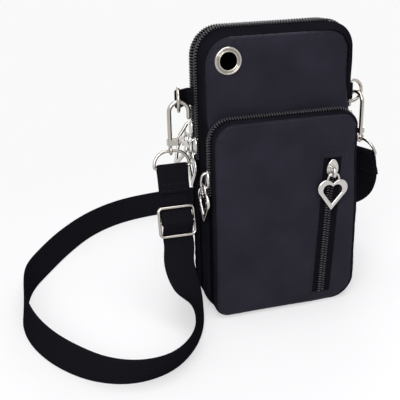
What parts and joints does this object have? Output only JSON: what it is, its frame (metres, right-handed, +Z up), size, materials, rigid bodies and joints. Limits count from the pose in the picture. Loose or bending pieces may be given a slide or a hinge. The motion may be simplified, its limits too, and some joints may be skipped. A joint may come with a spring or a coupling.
{
  "type": "phone pouch",
  "caption": "Upright black nylon phone pouch with zipped compartments, front pocket with slanted slit zip, heart pulls, cable eyelet and clip-on webbing strap.",
  "frame": {"origin": "on the surface the pouch stands on, under the middle of the pouch's width and depth", "axes": "+Z up, the front pocket faces -Y, +X to the right seen from the front"},
  "size_m": [0.2507, 0.2454, 0.1804],
  "materials": {
    "shell_nylon": "satin black woven nylon",
    "lining": "plain black lining cloth",
    "zip_tape": "black herringbone zip tape",
    "zip_teeth": "black nylon coil",
    "webbing": "black ribbed webbing",
    "zip_metal": "polished nickel plate",
    "nickel": "polished nickel plate"
  },
  "bodies": {
    "pouch": {"middle_gusset": "shell_nylon", "divider": "lining", "rear_zip_teeth_inner": "zip_teeth", "front_zip_teeth_inner": "zip_teeth", "left_tab": "webbing", "right_tab": "webbing", "left_swivel_eye": "nickel", "right_swivel_eye": "nickel", "left_strap_ring": "nickel", "right_strap_ring": "nickel", "tri_glide": "nickel", "strap_left_loop": "webbing", "strap_sewn_tail": "webbing", "strap_adjuster_pass": "webbing", "strap_drop": "webbing", "strap_floor_run": "webbing", "strap_rise": "webbing", "strap_right_loop": "webbing"},
    "rear_cover": {"back_panel": "shell_nylon", "rear_zip_tape": "zip_tape", "rear_zip_teeth_outer": "zip_teeth"},
    "front_cover": {"front_zip_teeth_outer": "zip_teeth", "front_zip_tape": "zip_tape", "front_rim": "shell_nylon", "front_panel": "shell_nylon", "eyelet": "nickel", "eyelet_washer": "nickel", "pocket_zip_tape_rear": "zip_tape", "pocket_zip_teeth_rear": "zip_teeth"},
    "pocket_cover": {"pocket_zip_teeth_front": "zip_teeth", "pocket_zip_tape_front": "zip_tape", "pocket_face": "shell_nylon", "slit_zip_tape_left": "zip_tape", "slit_zip_tape_right": "zip_tape", "slit_zip_teeth_left": "zip_teeth", "slit_zip_teeth_right": "zip_teeth", "slit_pocket_bag": "lining"},
    "rear_slider": {"rear_slider": "zip_metal"},
    "rear_pull": {"rear_pull": "zip_metal"},
    "front_slider": {"front_slider": "zip_metal"},
    "front_pull": {"front_pull": "zip_metal"},
    "pocket_slider": {"pocket_slider": "zip_metal"},
    "pocket_pull": {"pocket_pull": "zip_metal"},
    "slit_slider": {"slit_slider": "zip_metal"},
    "slit_pull": {"slit_pull": "zip_metal"},
    "left_d_ring": {"left_d_ring": "nickel"},
    "left_hook": {"left_hook_frame": "nickel", "left_gate_pin": "nickel"},
    "left_gate": {"left_hook_gate": "nickel"},
    "right_d_ring": {"right_d_ring": "nickel"},
    "right_hook": {"right_hook_frame": "nickel", "right_gate_pin": "nickel"},
    "right_gate": {"right_hook_gate": "nickel"}
  },
  "joints": [
    {"name": "rear_mouth", "type": "hinge", "parent": "pouch", "child": "rear_cover", "pos_m": [0, 0.0255, 0], "axis": [-1, 0, 0], "range_deg": [0, 10]},
    {"name": "front_mouth", "type": "hinge", "parent": "pouch", "child": "front_cover", "pos_m": [0, -0.0255, 0], "axis": [1, 0, 0], "range_deg": [0, 10]},
    {"name": "pocket_mouth", "type": "hinge", "parent": "front_cover", "child": "pocket_cover", "pos_m": [0, -0.0255, 0], "axis": [1, 0, 0], "range_deg": [0, 12]},
    {"name": "rear_slide", "type": "slide", "parent": "pouch", "child": "rear_slider", "axis": [0, 0, 1], "range_m": [0, 0.017]},
    {"name": "front_slide", "type": "slide", "parent": "pouch", "child": "front_slider", "axis": [0, 0, 1], "range_m": [-0.004, 0.003]},
    {"name": "pocket_slide", "type": "slide", "parent": "front_cover", "child": "pocket_slider", "axis": [0, 0, 1], "range_m": [0, 0.017]},
    {"name": "slit_slide", "type": "slide", "parent": "pocket_cover", "child": "slit_slider", "axis": [0.0547, 0, 0.9985], "range_m": [-0.062, 0]},
    {"name": "rear_pull_swing", "type": "hinge", "parent": "rear_slider", "child": "rear_pull", "pos_m": [-0.05175, 0.0205, 0.1135], "axis": [0, 1, 0], "range_deg": [0, 45]},
    {"name": "front_pull_swing", "type": "hinge", "parent": "front_slider", "child": "front_pull", "pos_m": [-0.05175, 0.0115, 0.104], "axis": [0, 1, 0], "range_deg": [0, 7]},
    {"name": "pocket_pull_swing", "type": "hinge", "parent": "pocket_slider", "child": "pocket_pull", "pos_m": [-0.05175, -0.014, 0.0895], "axis": [0, 1, 0], "range_deg": [0, 60]},
    {"name": "slit_pull_swing", "type": "hinge", "parent": "slit_slider", "child": "slit_pull", "pos_m": [0.02957, -0.02805, 0.09152], "axis": [-0.9985, 0, 0.0547], "range_deg": [0, 175]},
    {"name": "left_d_ring_swing", "type": "hinge", "parent": "pouch", "child": "left_d_ring", "pos_m": [-0.0596, 0.0116, 0.139], "axis": [0, 0, 1], "range_deg": [-10, 10]},
    {"name": "left_hook_swivel", "type": "hinge", "parent": "pouch", "child": "left_hook", "pos_m": [-0.06689, 0.00671, 0.1112], "axis": [0, 0, 1], "range_deg": [-6, 6]},
    {"name": "left_gate_open", "type": "hinge", "parent": "left_hook", "child": "left_gate", "pos_m": [-0.06319, 0.00671, 0.1132], "axis": [0, -1, 0], "range_deg": [0, 15], "stiffness_Nm_per_rad": 0.02, "springref_deg": -17.19},
    {"name": "right_d_ring_swing", "type": "hinge", "parent": "pouch", "child": "right_d_ring", "pos_m": [0.0586, 0.012, 0.134], "axis": [0, 0, 1], "range_deg": [-10, 10]},
    {"name": "right_hook_swivel", "type": "hinge", "parent": "pouch", "child": "right_hook", "pos_m": [0.06517, 0.00595, 0.106], "axis": [0, 0, 1], "range_deg": [-6, 6]},
    {"name": "right_gate_open", "type": "hinge", "parent": "right_hook", "child": "right_gate", "pos_m": [0.06424, 0.00953, 0.108], "axis": [0.9681, 0.2504, 0], "range_deg": [0, 15], "stiffness_Nm_per_rad": 0.02, "springref_deg": -17.19}
  ]
}
